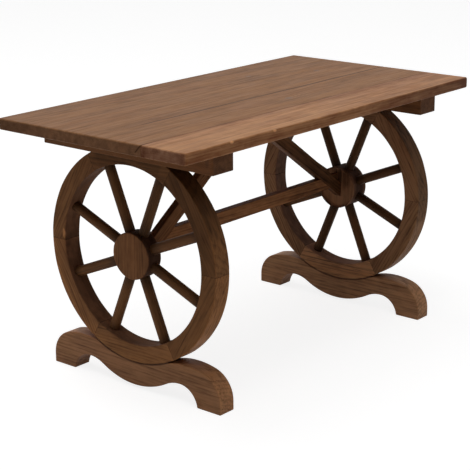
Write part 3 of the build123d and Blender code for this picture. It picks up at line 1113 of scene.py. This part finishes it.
def screw_places():
    """Where each screw's head is, and which way it faces."""
    places = []
    for batten in ("left_batten", "right_batten"):
        batten_low, batten_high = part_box(batten)
        middle = (batten_low.x + batten_high.x) / 2
        for board in BOARDS:
            low = max(batten_low.y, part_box(board)[0].y)
            high = min(batten_high.y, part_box(board)[1].y)
            for share, aside in ((0.25, -SCREW_INSET), (0.75, SCREW_INSET)):
                y = low + (high - low) * share
                if abs(y) > COVERED_HALF_WIDTH:
                    places.append(((middle + aside, y, batten_low.z), (0, 0, -1)))
    low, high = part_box("centre_batten")
    for x in (low.x + SCREW_INSET, high.x - SCREW_INSET):
        for y in (low.y + BATTEN_END_INSET, -BRACE_SCREW_Y, BRACE_SCREW_Y, high.y - BATTEN_END_INSET):
            places.append(((x, y, low.z), (0, 0, -1)))
    rise = ((RIM_RADIUS - RIM_DEPTH) ** 2 - RIM_SCREW_Y ** 2) ** 0.5
    drop = (FOOT_BELLY_RADIUS ** 2 - FOOT_SCREW_Y ** 2) ** 0.5
    for x in (-AXLE_X, AXLE_X):
        for back in (-1, 1):
            rim_y, foot_y = back * RIM_SCREW_Y, back * FOOT_SCREW_Y
            places.append(((x, rim_y, AXLE_Z + rise), (0, -rim_y, -rise)))
            places.append(((x, foot_y, FOOT_BELLY_Z + FOOT_BELLY_RADIUS - drop), (0, foot_y, -drop)))
    back_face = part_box("stretcher")[1].y
    for x in (-LAP_X, LAP_X):
        places.append(((x, back_face, middle_of("stretcher").z), (0, 1, 0)))
    return places


start, given = geometry_tree("screws", ["Radius", "Proud", "Depth", "Seed"])
radius, depth = given["Radius"], given["Depth"]
cone = start.node("GeometryNodeMeshCone", {}, {
    "Vertices": SCREW_SIDES, "Radius Top": radius, "Radius Bottom": radius * SCREW_TAPER, "Depth": depth})
slot_size = vector(start, X=radius * RECESS_LENGTH, Y=radius * RECESS_WIDTH, Z=depth * RECESS_DEPTH)
slot = start.node("GeometryNodeMeshCube", {}, {"Size": slot_size})
quarter = rotation(start, Z=pi / 2)
cross_slot = start.node("GeometryNodeTransform", {}, {"Geometry": slot, "Rotation": quarter})
lift = vector(start, Z=depth)
recess = [start.node("GeometryNodeTransform", {}, {"Geometry": bar, "Translation": lift})
          for bar in (slot, cross_slot)]
head = start.node("GeometryNodeMeshBoolean", {"operation": "DIFFERENCE"}, {"Mesh 1": cone, "Mesh 2": recess})
sink = vector(start, Z=given["Proud"] - depth)
head = start.node("GeometryNodeTransform", {}, {"Geometry": head, "Translation": sink})
aim = start.node("FunctionNodeAlignRotationToVector", {"axis": "Z"}, {"Vector": stored(start, "facing")})
number = start.node("GeometryNodeInputIndex", {}, {})
spin = start.node("FunctionNodeRandomValue", {"data_type": "FLOAT"}, {
    2: 0.0, 3: 2 * pi, "ID": number, "Seed": given["Seed"]}, output=1)
aim = start.node("FunctionNodeRotateRotation", {"rotation_space": "LOCAL"}, {
    "Rotation": aim, "Rotate By": rotation(start, Z=spin)})
heads = start.node("GeometryNodeInstanceOnPoints", {}, {
    "Points": given["Geometry"], "Instance": head, "Rotation": aim})
close_tree(heads, screw_steel())

places = screw_places()
spots = bpy.data.meshes.new("screw_places")
spots.from_pydata([place for place, facing in places], [], [])
directions = spots.attributes.new("facing", "FLOAT_VECTOR", "POINT")
for index, (place, facing) in enumerate(places):
    directions.data[index].vector = Vector(facing).normalized()
screws = grow("screws", start.tree, {
    "Radius": SCREW_RADIUS, "Proud": SCREW_PROUD, "Depth": SCREW_DEPTH, "Seed": SCREW_SEED}, spots)
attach(screws, "root")


# ---- Room, light and camera ------------------------------------------------------
# A plain white floor and white surroundings, with two broad soft lamps overhead, and
# the camera.

BLACK = (0, 0, 0, 1)
WHITE = (1, 1, 1, 1)
FLOOR_SIZE = 30.0
FLOOR_BOUNCE = (0.92, 0.92, 0.92, 1)
FLOOR_SEEN = (0.36, 0.36, 0.36, 1)
FLOOR_LIFT = (0.84, 0.84, 0.84, 1)
FLOOR_ROUGHNESS = 0.9
ROOM_LEVEL = 0.04
LAMP_SIZE = 3.4
LAMP_AIM = Vector((0, 0, 0.3))
LAMPS = {"front_lamp": ((-1.6, -1.2, 6.0), 112), "back_lamp": ((-0.2, 2.2, 6.0), 98)}
CAMERA_PLACE = (-2.58403, -2.12258, 1.25853)
CAMERA_AZIMUTH = radians(-50.03)
CAMERA_ELEVATION = radians(16.55)
CAMERA_ROLL = radians(-0.37)
FOCAL_PIXELS = 1438.68
FRAME_PIXELS = 470
SENSOR_WIDTH = 36.0


def shown_ray(tree):
    """1 for a ray that the camera sees, straight or by reflection, 0 for one of light."""
    start = Field(tree)
    rays = ("Is Camera Ray", "Is Glossy Ray", "Is Transmission Ray")
    camera, glossy, through = (start.node("ShaderNodeLightPath", {}, {}, output=name) for name in rays)
    return camera.math("MAXIMUM", camera.math("MAXIMUM", camera, glossy), through)


floor_mesh = bpy.data.meshes.new("floor")
half = FLOOR_SIZE / 2
corners = [(-half, -half, 0), (half, -half, 0), (half, half, 0), (-half, half, 0)]
floor_mesh.from_pydata(corners, [], [(0, 1, 2, 3)])
floor = bpy.data.objects.new("floor", floor_mesh)
bpy.context.scene.collection.objects.link(floor)
floor_paint = bpy.data.materials.new("floor_white")
floor_paint.use_nodes = True
tree = floor_paint.node_tree
shader = tree.nodes["Principled BSDF"]
seen = shown_ray(tree)
tree.links.new(seen.between(FLOOR_BOUNCE, FLOOR_SEEN).socket, shader.inputs["Base Color"])
tree.links.new(seen.between(BLACK, FLOOR_LIFT).socket, shader.inputs["Emission Color"])
shader.inputs["Emission Strength"].default_value = 1.0
shader.inputs["Roughness"].default_value = FLOOR_ROUGHNESS
floor_mesh.materials.append(floor_paint)

world = bpy.data.worlds.new("white_room")
bpy.context.scene.world = world
world.use_nodes = True
background = world.node_tree.nodes["Background"]
background.inputs["Color"].default_value = WHITE
strength = ROOM_LEVEL + (1 - ROOM_LEVEL) * shown_ray(world.node_tree)
world.node_tree.links.new(strength.socket, background.inputs["Strength"])

for name, (place, watts) in LAMPS.items():
    light = bpy.data.lights.new(name, "AREA")
    light.size = LAMP_SIZE
    light.energy = watts
    lamp = bpy.data.objects.new(name, light)
    lamp.location = place
    lamp.rotation_euler = (LAMP_AIM - Vector(place)).to_track_quat("-Z", "Y").to_euler()
    bpy.context.scene.collection.objects.link(lamp)

lens = bpy.data.cameras.new("camera")
lens.sensor_width = SENSOR_WIDTH
lens.lens = FOCAL_PIXELS / FRAME_PIXELS * SENSOR_WIDTH
camera = bpy.data.objects.new("camera", lens)
camera.location = CAMERA_PLACE
upright = Matrix.Rotation(CAMERA_AZIMUTH, 3, "Z") @ Matrix.Rotation(pi / 2 - CAMERA_ELEVATION, 3, "X")
camera.rotation_euler = (upright @ Matrix.Rotation(CAMERA_ROLL, 3, "Z")).to_euler()
bpy.context.scene.collection.objects.link(camera)
bpy.context.scene.camera = camera
bpy.context.scene.view_settings.view_transform = "Standard"
